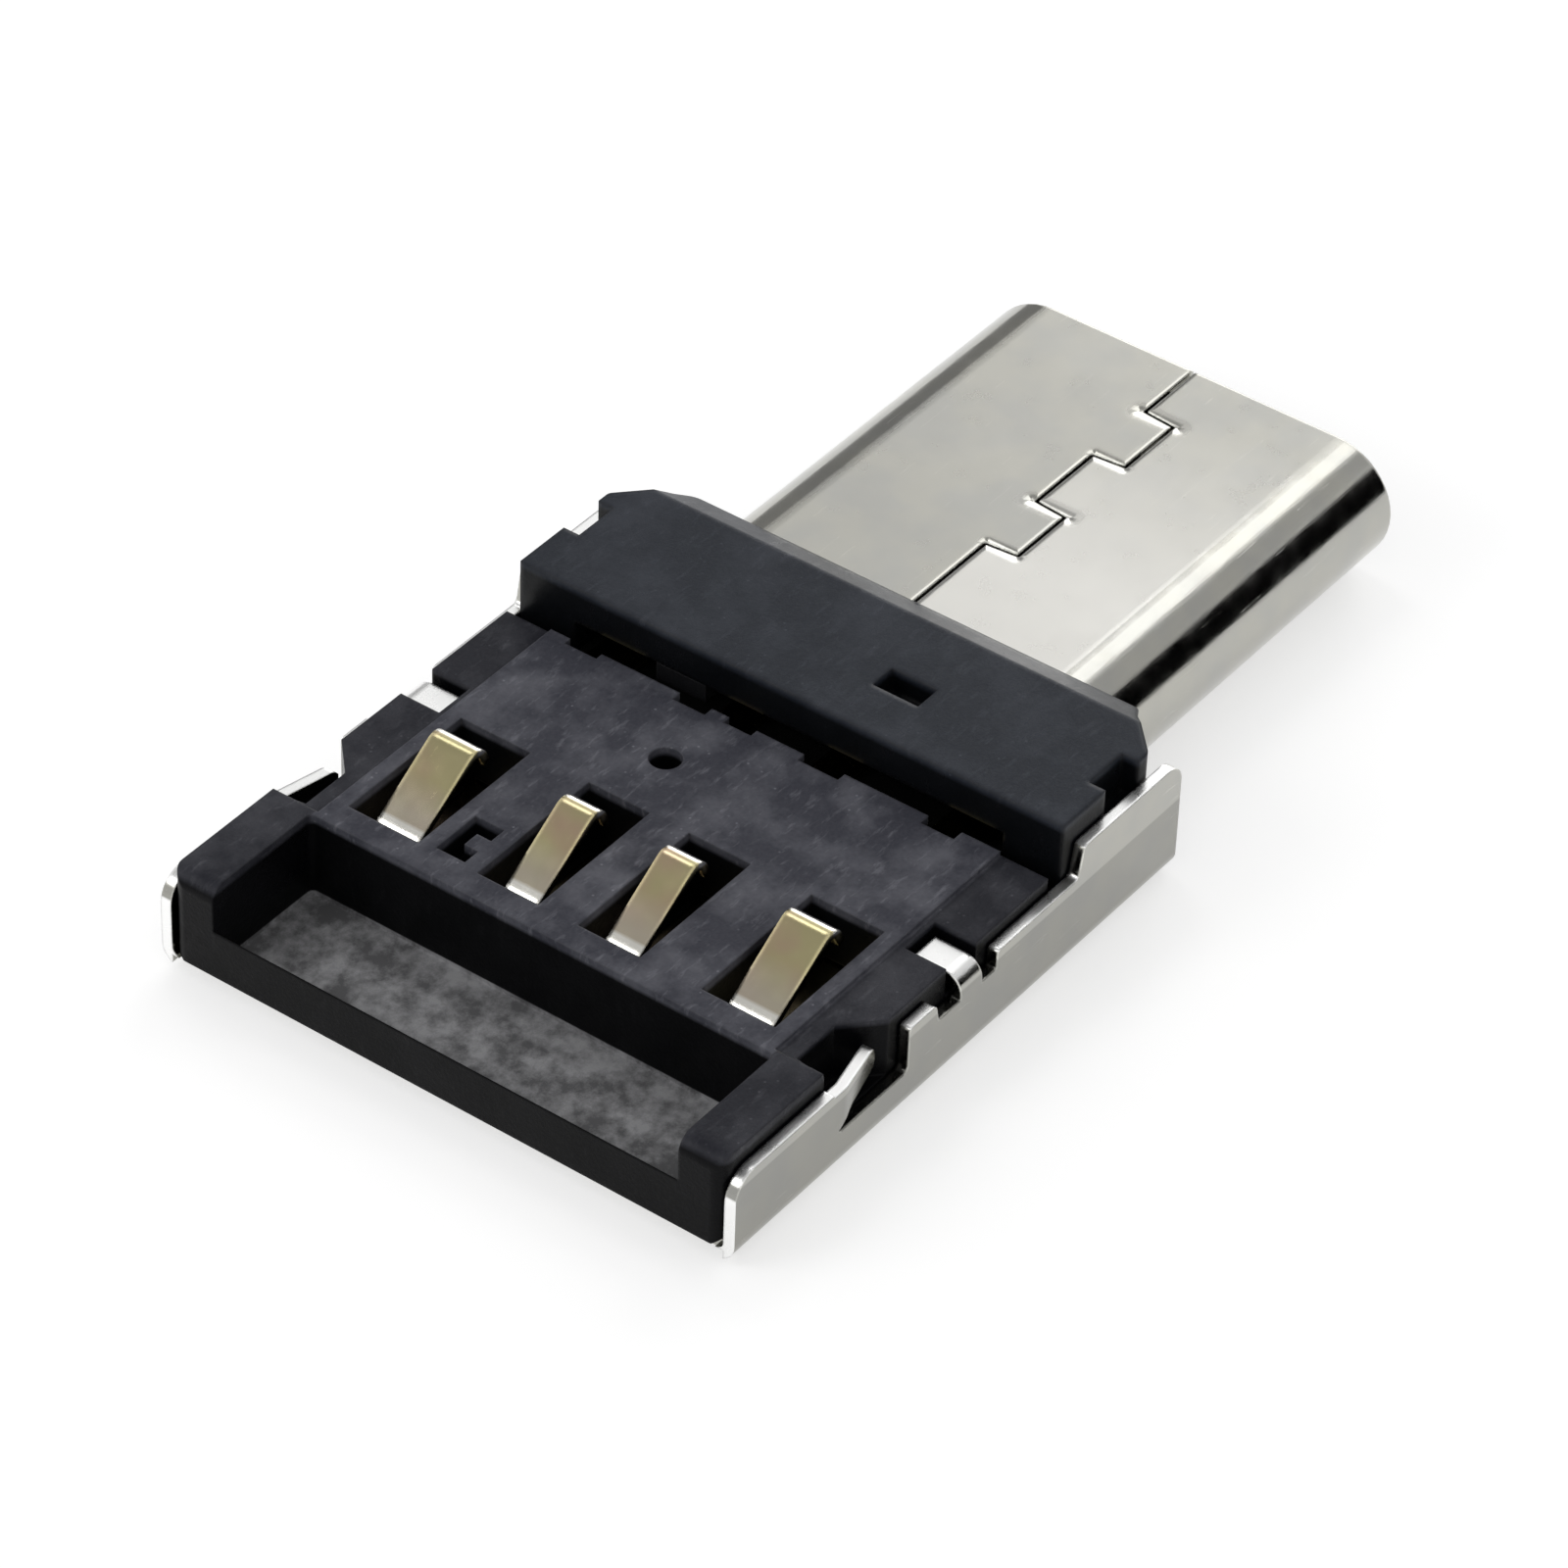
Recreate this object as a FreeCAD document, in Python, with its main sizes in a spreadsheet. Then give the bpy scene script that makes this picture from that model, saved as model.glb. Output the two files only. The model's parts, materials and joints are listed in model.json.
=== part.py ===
import FreeCAD, Part
import math
import os
from FreeCAD import Vector

# Clip-in usb-c otg adapter, lying on its wide metal plate.
# Working frame of every body: x = 0 at the plate's front edge, +x toward the usb-c plug,
# y = 0 on the centre line, z = 0 on the plate's outer face. Millimetres.
# Each body's placement then moves it so that the finished adapter's box stands on z = 0
# with its centre on the origin.

os.makedirs("parts", exist_ok=True)
doc = FreeCAD.newDocument("otg_adapter")
sizes = doc.addObject("Spreadsheet::Sheet", "sizes")

SIZES = [
    ("sheet", 0.20, "thickness of the stamped shell"),
    ("body_width", 11.30, "over the two side walls: slides into a usb-a plug shell"),
    ("plate_length", 11.60, "rear ends of the side walls to the plate's front edge"),
    ("plate_set_back", 0.20, "plate's rear edge, forward of the walls' rear ends"),
    ("bend_radius", 0.35, "outer radius of the folds"),
    ("wall_front", 0.25, "front ends of the walls, forward of the plate's edge at the neck"),
    ("tall_height", 2.27, "side wall beside the front block"),
    ("middle_height", 1.67, "side wall behind the first step"),
    ("rear_height", 1.67, "side wall at the rear end"),
    ("tall_rear", 2.50, "first step, back from the plate's front edge"),
    ("middle_rear", 4.82, "second step"),
    ("tab_front", 5.22, "crimp tab, front side"),
    ("tab_rear", 5.78, "crimp tab, rear side"),
    ("tab_length", 0.92, "crimp tab, how far it folds in over the tray"),
    ("tab_depth", 0.25, "crimp tab's top, below the deck's top"),
    ("part_rear", 7.15, "rear side of the short wall piece behind the tab"),
    ("finger_tip", 7.72, "side finger, free end"),
    ("finger_root", 8.95, "side finger, bend at its root"),
    ("finger_slit", 0.05, "slit under the side finger, at its root"),
    ("finger_low", 1.20, "side finger, lower edge at the free end"),
    ("finger_high", 1.62, "side finger, upper edge"),
    ("finger_round", 0.18, "side finger, rounded corners of the free end"),
    ("finger_in", 0.24, "side finger, how far the free end is bent in"),
    ("finger_room", 0.34, "side rail's notch, clear of the bent finger"),
    ("strip_height", 0.80, "wall strip left under the finger"),
    ("plug_width", 8.25, "usb-c plug shell"),
    ("plug_height", 2.40, "usb-c plug shell"),
    ("plug_length", 8.95, "plug mouth, forward of the plate's front edge"),
    ("plug_root", 0.55, "rear edge of the rolled plug shell"),
    ("neck_width", 5.00, "sheet between plate and plug shell"),
    ("seam_gap", 0.07, "open line where the rolled edges meet"),
    ("seam_width", 0.62, "how far the seam jogs sideways"),
    ("mouth_round", 0.09, "rounded outer rim of the plug mouth"),
    ("rib_height", 0.08, "ribs pressed out of the neck"),
    ("rib_length", 2.45, "rib, end to end"),
    ("rib_width", 0.50, "rib"),
    ("rib_pitch", 1.42, "rib to rib"),
    ("rib_centre", 0.33, "middle of the ribs, forward of the plate edge"),
    ("side_play", 0.03, "moulded pieces inside the side walls"),
    ("deck_height", 2.00, "top of the contact deck"),
    ("deck_front", 3.15, "deck's front edge"),
    ("deck_rear", 9.20, "deck's rear edge"),
    ("rail_width", 0.92, "side rails beside the deck"),
    ("rail_depth", 0.08, "side rails, below the deck's top"),
    ("cheek_width", 0.85, "rear cheeks beside the pocket"),
    ("pocket_floor", 0.35, "rear pocket's floor"),
    ("sill_thickness", 0.30, "rear sill, front to back"),
    ("sill_height", 1.15, "rear sill, at its rear face"),
    ("sill_depth", 0.34, "drop of the sill's sloping top toward the pocket"),
    ("shelf_front", 1.80, "tray shelf under the circuit board, front side"),
    ("slot_rear", 8.70, "contact slots, rear end"),
    ("slot_front", 5.85, "contact slots, front end"),
    ("slot_floor", 0.55, "contact slots, floor"),
    ("slot_extra", 0.28, "slot wider than its contact, each side"),
    ("recess_rear", 8.62, "c-shaped recess in the deck, rear end"),
    ("recess_side", 1.92, "c-shaped recess, its side nearest the centre line"),
    ("recess_length", 1.00, "c-shaped recess"),
    ("recess_width", 0.58, "c-shaped recess"),
    ("recess_arm", 0.34, "c-shaped recess, each arm"),
    ("recess_back", 0.30, "c-shaped recess, the part between its arms"),
    ("recess_depth", 0.60, "c-shaped recess"),
    ("hole_rear", 4.62, "moulding hole in the deck"),
    ("hole_side", 1.02, "moulding hole, off the centre line"),
    ("hole_radius", 0.28, "moulding hole"),
    ("hole_depth", 0.60, "moulding hole"),
    ("contact_sheet", 0.15, "usb-a contact strip"),
    ("wide_contact", 0.86, "usb-a power contacts"),
    ("narrow_contact", 0.66, "usb-a data contacts"),
    ("outer_position", 3.50, "usb-a power contacts, off the centre line"),
    ("inner_position", 1.00, "usb-a data contacts, off the centre line"),
    ("run_height", 0.20, "contact strip's lower run, its middle above the slot floor"),
    ("heel_play", 0.30, "contact's heel, middle of the strip ahead of the slot's rear end"),
    ("heel_height", 0.95, "contact's heel, above the slot floor"),
    ("crest_height", 0.56, "contact crest before rounding, middle of the strip above the deck"),
    ("crest_rear", 6.80, "contact crest"),
    ("lip_length", 0.42, "contact's free lip, down from the crest"),
    ("block_front", 0.70, "front block's front face"),
    ("block_rear", 2.80, "front block's rear face"),
    ("block_cover", 0.35, "front block's top above the plug shell"),
    ("nose_taper", 0.73, "block's front corners, share of the body's spare width over the plug"),
    ("well_rear", 1.80, "small well in the block's top, rear side"),
    ("well_side", 0.98, "small well, its side nearest the centre line"),
    ("well_length", 0.54, "small well"),
    ("well_width", 0.90, "small well"),
    ("well_depth", 0.45, "small well"),
    ("slope_length", 0.60, "front slope, front to back"),
    ("slope_depth", 0.31, "front slope, drop"),
    ("board_play", 0.10, "hollow under the block, beside the circuit board"),
    ("chamber_room", 0.55, "hollow under the block, above the circuit board"),
    ("board_thickness", 0.60, "circuit board, on the plug's middle plane"),
    ("board_rear", 2.95, "circuit board, rear edge"),
    ("board_front", 0.10, "circuit board, front edge"),
    ("board_margin", 0.27, "circuit board, outside the outer contact tails"),
    ("insulator_play", 0.075, "plug insulator inside the plug shell's sides"),
    ("insulator_depth", 0.55, "plug insulator, behind the mouth"),
    ("cavity_wall", 0.43, "insulator's side walls beside the mouth hollow"),
    ("cavity_height", 0.84, "mouth hollow"),
    ("cavity_depth", 5.95, "mouth hollow, rear end behind the mouth"),
    ("pin_sheet", 0.12, "usb-c contact strip"),
    ("pin_width", 0.25, "usb-c contact"),
    ("pin_spacing", 0.50, "usb-c contact to contact"),
    ("pin_tail", 1.15, "usb-c contact tail, rear end"),
    ("pin_slot_width", 0.33, "slot the contact springs in"),
    ("pin_slot_cover", 0.20, "insulator left over the slots"),
    ("pin_slot_depth", 1.65, "slots' front ends, behind the mouth"),
    ("pin_arch_room", 0.14, "contact's arch, middle of the strip below the slot's roof"),
    ("pin_arch_depth", 4.35, "contact's arch, behind the mouth"),
    ("pin_crest_height", 0.30, "contact's crest, off the middle plane"),
    ("pin_crest_depth", 2.65, "contact's crest, behind the mouth"),
    ("pin_tip_depth", 2.05, "contact's tip, behind the mouth"),
    ("tip_room", 0.10, "tips of contacts and ground springs, outside the mouth hollow"),
    ("latch_sheet", 0.20, "middle latch plate"),
    ("latch_play", 0.05, "latch plate inside the insulator's sides"),
    ("latch_depth", 1.35, "latch arm's free end, behind the mouth"),
    ("latch_rear", 0.15, "latch plate, rear edge"),
    ("latch_bar", 0.95, "latch cross bar, front side"),
    ("spring_sheet", 0.10, "ground spring"),
    ("spring_pitch", 2.20, "ground spring, finger to finger"),
    ("spring_tongue", 1.00, "ground spring finger, width"),
    ("spring_land", 0.75, "ground spring, flat part behind its fingers"),
    ("spring_finger", 0.60, "ground spring finger, length"),
    ("spring_depth", 1.60, "ground spring, bend line behind the mouth"),
    ("resistor_rear", 2.60, "pull-down resistor, rear side"),
    ("resistor_side", 1.75, "pull-down resistor, off the centre line"),
    ("resistor_length", 1.00, "pull-down resistor"),
    ("resistor_width", 0.50, "pull-down resistor"),
    ("resistor_height", 0.35, "pull-down resistor"),
]

for row, (alias, value, note) in enumerate(SIZES, 1):
    sizes.set("A%d" % row, note)
    sizes.set("B%d" % row, str(value))
    sizes.setAlias("B%d" % row, alias)
doc.recompute()


def v(alias):
    return float(sizes.get(alias))


# Profiles: closed outlines with a radius at each corner.

def unit(p):
    n = math.hypot(p[0], p[1])
    return (p[0] / n, p[1] / n)


def corner(before, at, after, radius):
    a = unit((before[0] - at[0], before[1] - at[1]))
    b = unit((after[0] - at[0], after[1] - at[1]))
    half = math.acos(max(-1.0, min(1.0, a[0] * b[0] + a[1] * b[1]))) / 2
    run = radius / math.tan(half)
    mid = unit((a[0] + b[0], a[1] + b[1]))
    out = radius / math.sin(half) - radius
    return ((at[0] + a[0] * run, at[1] + a[1] * run),
            (at[0] + mid[0] * out, at[1] + mid[1] * out),
            (at[0] + b[0] * run, at[1] + b[1] * run))


def outline(points):
    """points are (x, y) or (x, y, corner radius); returns the edges of the closed outline"""
    flat = [(p[0], p[1]) for p in points]
    turns = []
    for i, p in enumerate(points):
        radius = p[2] if len(p) > 2 else 0.0
        if radius > 1e-6:
            turns.append(corner(flat[i - 1], flat[i], flat[(i + 1) % len(flat)], radius))
        else:
            turns.append((flat[i], None, flat[i]))
    edges = []
    for i, turn in enumerate(turns):
        if turn[1] is not None:
            edges.append(Part.Arc(*[Vector(q[0], q[1], 0) for q in turn]))
        start, end = turn[2], turns[(i + 1) % len(turns)][0]
        if math.hypot(end[0] - start[0], end[1] - start[1]) > 1e-6:
            edges.append(Part.LineSegment(Vector(start[0], start[1], 0), Vector(end[0], end[1], 0)))
    return edges


def box(x0, y0, x1, y1, radius=0.0):
    return outline([(x0, y0, radius), (x1, y0, radius), (x1, y1, radius), (x0, y1, radius)])


def racetrack(x0, y0, x1, y1):
    """two straight sides along x and two half circles"""
    r = (y1 - y0) / 2
    mid = (y0 + y1) / 2
    corners = [Vector(x0 + r, y0, 0), Vector(x1 - r, y0, 0), Vector(x1 - r, y1, 0), Vector(x0 + r, y1, 0)]
    return [Part.LineSegment(corners[0], corners[1]), Part.Arc(corners[1], Vector(x1, mid, 0), corners[2]),
            Part.LineSegment(corners[2], corners[3]), Part.Arc(corners[3], Vector(x0, mid, 0), corners[0])]


def strip(path, thickness):
    """outline of a bent strip seen from its side; path holds (x, y, bend radius) on its mid line"""
    sides = {1: [], -1: []}
    for i, p in enumerate(path):
        here = (p[0], p[1])
        before = path[i - 1] if i else None
        after = path[i + 1] if i + 1 < len(path) else None
        a = unit((here[0] - before[0], here[1] - before[1])) if before else None
        b = unit((after[0] - here[0], after[1] - here[1])) if after else None
        if a is None or b is None:
            d = a or b
            normal, stretch, turn = (-d[1], d[0]), 1.0, 0.0
        else:
            normal = unit((-a[1] - b[1], a[0] + b[0]))
            stretch = 1.0 / (normal[0] * -a[1] + normal[1] * a[0])
            turn = 1.0 if a[0] * b[1] - a[1] * b[0] > 0 else -1.0
        for side in (1, -1):
            reach = side * thickness / 2 * stretch
            radius = p[2] - side * turn * thickness / 2 if turn else 0.0
            sides[side].append((here[0] + normal[0] * reach, here[1] + normal[1] * reach, max(radius, 0.0)))
    return outline(sides[1] + sides[-1][::-1])


def mirrored(path, middle):
    return [(p[0], 2 * middle - p[1]) + tuple(p[2:]) for p in path]


# Bodies: a sketch on one of the body's own planes, then a pad or a pocket.
# Pads grow along the plane's normal and pockets cut against it:
# XY is +z, YZ is +x, XZ is -y.

def new_body(label):
    body = doc.addObject("PartDesign::Body", label)
    body.Label = label
    body.setExpression("Placement.Base.x", "(sizes.plate_length - sizes.plug_length) / 2")
    body.setExpression("Placement.Base.z", "sizes.rib_height")
    doc.recompute()
    return body


def draw(body, plane, at, loops):
    sketch = body.newObject("Sketcher::SketchObject", "outline")
    role = {"XY": "XY_Plane", "XZ": "XZ_Plane", "YZ": "YZ_Plane"}[plane]
    own = [f for f in body.Origin.OriginFeatures if f.Role == role][0]
    sketch.AttachmentSupport = [(own, "")]
    sketch.MapMode = "FlatFace"
    sketch.setExpression("AttachmentOffset.Base.z", at)
    for loop in loops:
        sketch.addGeometry(loop, False)
    doc.recompute()
    return sketch


def volume(body):
    return body.Shape.Volume if body.Tip is not None and not body.Shape.isNull() else 0.0


def pad(body, plane, at, loops, length):
    before = volume(body)
    sketch = draw(body, plane, at, loops)
    feature = body.newObject("PartDesign::Pad", "pad")
    feature.Profile = sketch
    feature.setExpression("Length", length)
    sketch.Visibility = False
    doc.recompute()
    if volume(body) <= before:
        raise RuntimeError("a pad added nothing to " + body.Label)
    return feature


def cut(body, plane, at, loops, depth):
    before = volume(body)
    sketch = draw(body, plane, at, loops)
    feature = body.newObject("PartDesign::Pocket", "pocket")
    feature.Profile = sketch
    feature.setExpression("Length", depth)
    sketch.Visibility = False
    doc.recompute()
    if volume(body) >= before:
        raise RuntimeError("a pocket cut nothing from " + body.Label)
    return feature


# Values that follow from the sizes above.
PLUG_MID = v("plug_height") / 2
HALF = v("body_width") / 2
INNER = HALF - v("sheet")
TRAY_HALF = INNER - v("side_play")
TAB_TOP = v("deck_height") - v("tab_depth")
BOARD_LOW = PLUG_MID - v("board_thickness") / 2
BOARD_TOP = PLUG_MID + v("board_thickness") / 2
BOARD_HALF = v("outer_position") + v("wide_contact") / 2 + v("board_margin")
BLOCK_TOP = v("plug_height") + v("block_cover")
INSULATOR_HALF = v("plug_width") / 2 - v("sheet") - v("insulator_play")
INSULATOR_FRONT = v("plug_length") - v("insulator_depth")
CAVITY_HALF = INSULATOR_HALF - v("cavity_wall")
CAVITY_REAR = v("plug_length") - v("cavity_depth")
CAVITY_RISE = v("cavity_height") / 2
PIN_SLOT_RISE = PLUG_MID - v("sheet") - v("pin_slot_cover")
TIP_RISE = CAVITY_RISE + v("tip_room")
LATCH_HALF = INSULATOR_HALF - v("latch_play")
LATCH_FRONT = v("plug_length") - v("latch_depth")
SPRING_BEND = v("plug_length") - v("spring_depth")
SPRING_HALF = v("spring_pitch") + v("spring_tongue") / 2
SPARE = TRAY_HALF - v("plug_width") / 2
BOARD_LOW_SIZE = "(sizes.plug_height - sizes.board_thickness) / 2"
BOARD_TOP_SIZE = "(sizes.plug_height + sizes.board_thickness) / 2"
BLOCK_TOP_SIZE = "(sizes.plug_height + sizes.block_cover)"
CONTACTS = [("contact_vbus", 1, "outer_position", "wide_contact"),
            ("contact_data_minus", 1, "inner_position", "narrow_contact"),
            ("contact_data_plus", -1, "inner_position", "narrow_contact"),
            ("contact_ground", -1, "outer_position", "wide_contact")]
UPPER_PINS = [1, 4, 5, 6, 7, 9, 12]
LOWER_PINS = [1, 4, 9, 12]


def pin_y(number):
    return (6.5 - number) * v("pin_spacing")


def stadium(inset):
    half = v("plug_width") / 2 - inset
    return racetrack(-half, inset, half, v("plug_height") - inset)


# The stamped shell: plate and walls folded from one sheet, the neck with its pressed ribs and
# the plug shell rolled up from the same sheet until its edges meet in a castellated seam.

def fold_section():
    bend = v("bend_radius")
    inside = bend - v("sheet")
    top = v("tall_height")
    return outline([(-HALF, top), (-HALF, 0, bend), (HALF, 0, bend), (HALF, top),
                    (INNER, top), (INNER, v("sheet"), inside), (-INNER, v("sheet"), inside),
                    (-INNER, top)])


def wall_waste():
    """what is cut away above the side walls, seen from the side"""
    far = v("plate_length") + 1
    over = v("tall_height") + 1
    rear, middle, tall = v("rear_height"), v("middle_height"), v("tall_height")
    root, strip_top, part = -v("finger_root"), v("strip_height"), -v("part_rear")
    notch = middle - 0.36
    return [outline([(-far, over), (-far, rear), (root - 0.15, rear), (root, strip_top, 0.1),
                     (part, strip_top, 0.12), (part, rear, 0.08), (part + 0.70, rear, 0.1),
                     (part + 0.78, notch, 0.05), (-v("tab_rear"), notch),
                     (-v("middle_rear"), notch, 0.06), (-v("middle_rear"), middle, 0.08),
                     (-v("tall_rear") - 0.12, middle, 0.12), (-v("tall_rear"), tall, 0.1),
                     (v("wall_front"), tall, 0.4), (v("wall_front"), tall - 0.55), (1, tall - 0.55),
                     (1, over)])]


def rear_waste():
    """rounded rear corners of the walls' free edges"""
    end = -v("plate_length")
    top = v("rear_height")
    return [outline([(end - 1, top + 1), (end - 1, top - 0.6), (end, top - 0.6), (end, top, 0.5),
                     (end + 0.6, top), (end + 0.6, top + 1)])]


def seam():
    """the zigzag open line on top of the rolled shell"""
    g = v("seam_gap") / 2
    side = -v("seam_width")
    stations = [(v("plug_length") + 0.2, 0), (7.42, 0), (7.36, side), (5.92, side), (5.86, 0), (4.21, 0),
                (4.15, side), (2.80, side), (2.74, 0), (v("plug_root") - 0.2, 0)]
    return [strip([(x, y, 0.0) for x, y in stations], 2 * g)]


def metal_shell():
    body = new_body("metal_shell")
    wide = "sizes.body_width + 1"
    pad(body, "YZ", "-sizes.plate_length", [fold_section()], "sizes.plate_length + sizes.wall_front")
    cut(body, "XZ", "sizes.body_width / 2 + 0.5", wall_waste(), wide)
    cut(body, "XZ", "sizes.body_width / 2 + 0.5", rear_waste(), wide)
    # The plate's rear edge stops short of the walls' ends, under the tray.
    far = INNER
    rear = v("plate_length")
    cut(body, "XY", "sizes.sheet", [box(-rear - 1, -far, v("plate_set_back") - rear, far)], "sizes.sheet")
    # The plate's front edge slopes back from the walls to the neck.
    root = v("plug_root")
    neck = v("neck_width") / 2
    end = v("wall_front")
    edge = outline([(0.03, -neck - 0.3), (end, -HALF + 0.4), (end + 1, -HALF + 0.4), (end + 1, HALF - 0.4),
                    (end, HALF - 0.4), (0.03, neck + 0.3)])
    cut(body, "XY", "sizes.bend_radius", [edge], "sizes.bend_radius + 0.1")
    pad(body, "XY", "0", [box(-0.4, -neck, root + 0.3, neck)], "sizes.sheet")
    walls = [stadium(0), stadium(v("sheet"))]
    pad(body, "YZ", "sizes.plug_root", walls, "sizes.plug_length - sizes.plug_root")
    tube = body.Tip
    rim = body.newObject("PartDesign::Fillet", "mouth_rim")
    rim.Base = (tube, mouth_edges(tube.Shape))
    rim.setExpression("Radius", "sizes.mouth_round")
    doc.recompute()
    cut(body, "XY", "sizes.plug_height + 0.1", seam(), "sizes.sheet + 0.2")
    for side in (1, -1):
        shell_tab(body, side)
        shell_finger(body, side)
    length, width, pitch = v("rib_length") / 2, v("rib_width") / 2, v("rib_pitch")
    middle = v("rib_centre")
    ribs = [racetrack(middle - length, n * pitch - width, middle + length, n * pitch + width)
            for n in (-1, 0, 1)]
    inner = v("rib_width") / 2 - v("sheet") / 2
    hollows = [racetrack(middle - length + 0.1, n * pitch - inner, middle + length - 0.1, n * pitch + inner)
               for n in (-1, 0, 1)]
    pad(body, "XY", "-sizes.rib_height", ribs, "sizes.rib_height")
    cut(body, "XY", "sizes.sheet", hollows, "sizes.rib_height")
    return body


def mouth_edges(shape):
    """the outer rim of the plug's mouth"""
    names = []
    for i, edge in enumerate(shape.Edges, 1):
        b = edge.BoundBox
        if b.XLength > 1e-4 or abs(b.XMin - v("plug_length")) > 1e-4:
            continue
        m = edge.valueAt((edge.FirstParameter + edge.LastParameter) / 2)
        reach = max(abs(m.z - PLUG_MID) - v("plug_height") / 2,
                    math.hypot(max(abs(m.y) - (v("plug_width") - v("plug_height")) / 2, 0), m.z - PLUG_MID)
                    - v("plug_height") / 2)
        if abs(reach) < 1e-3 and edge.Length > 0.5:
            names.append("Edge%d" % i)
    return names


def shell_tab(body, side):
    """crimp tab: the wall's edge folded in over the tray"""
    bend = v("bend_radius")
    half = v("sheet") / 2
    top = TAB_TOP - half
    path = [(side * (HALF - half), v("strip_height"), 0), (side * (HALF - half), top, bend - half),
            (side * (HALF - v("tab_length")), top, 0)]
    pad(body, "YZ", "-sizes.tab_rear", [strip(path, v("sheet"))], "sizes.tab_rear - sizes.tab_front")


def shell_finger(body, side):
    """side finger: cut free of the wall and bent inward, gripping the plug shell it slides into"""
    half = v("sheet") / 2
    wall = HALF - half
    path = [(-v("finger_root") - 0.3, side * wall, 0), (-v("finger_root") + 0.15, side * wall, 0.5),
            (-v("finger_tip"), side * (wall - v("finger_in")), 0)]
    pad(body, "XY", "sizes.strip_height + sizes.finger_slit", [strip(path, v("sheet"))],
        "sizes.finger_high - sizes.strip_height - sizes.finger_slit")
    # The lower edge rises from the slit's end; both corners of the free end are rounded.
    root, tip, low = -v("finger_root"), -v("finger_tip"), v("finger_low")
    slit = v("strip_height") + v("finger_slit")
    under = outline([(root, slit - 0.02), (root, slit), (root + 0.4, low - 0.1, 0.3),
                     (tip, low, v("finger_round")), (tip, low + 0.25), (tip + 0.2, low + 0.25),
                     (tip + 0.2, slit - 0.02)])
    high = v("finger_high")
    over = outline([(tip - 0.3, high + 0.1), (tip - 0.3, high), (tip, high, v("finger_round")),
                    (tip, high - 0.2), (tip + 0.2, high - 0.2), (tip + 0.2, high + 0.1)])
    outside = "sizes.body_width / 2 + 0.5" if side < 0 else "-(sizes.body_width / 2 - 1)"
    cut(body, "XZ", outside, [under, over], "1.5")


# The contact tray: deck with four contact slots, side rails, rear pocket and the board shelf.

def fold_clearance(side):
    """what the moulded pieces lose along their lower edges to clear the inside of the folds"""
    bend = v("bend_radius")
    low = side * (TRAY_HALF - bend + 0.15)
    out = side * (TRAY_HALF + 0.1)
    return outline([(out, 0), (low, 0), (low, v("sheet")), (side * TRAY_HALF, bend + 0.02),
                    (out, bend + 0.02)])


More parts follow.
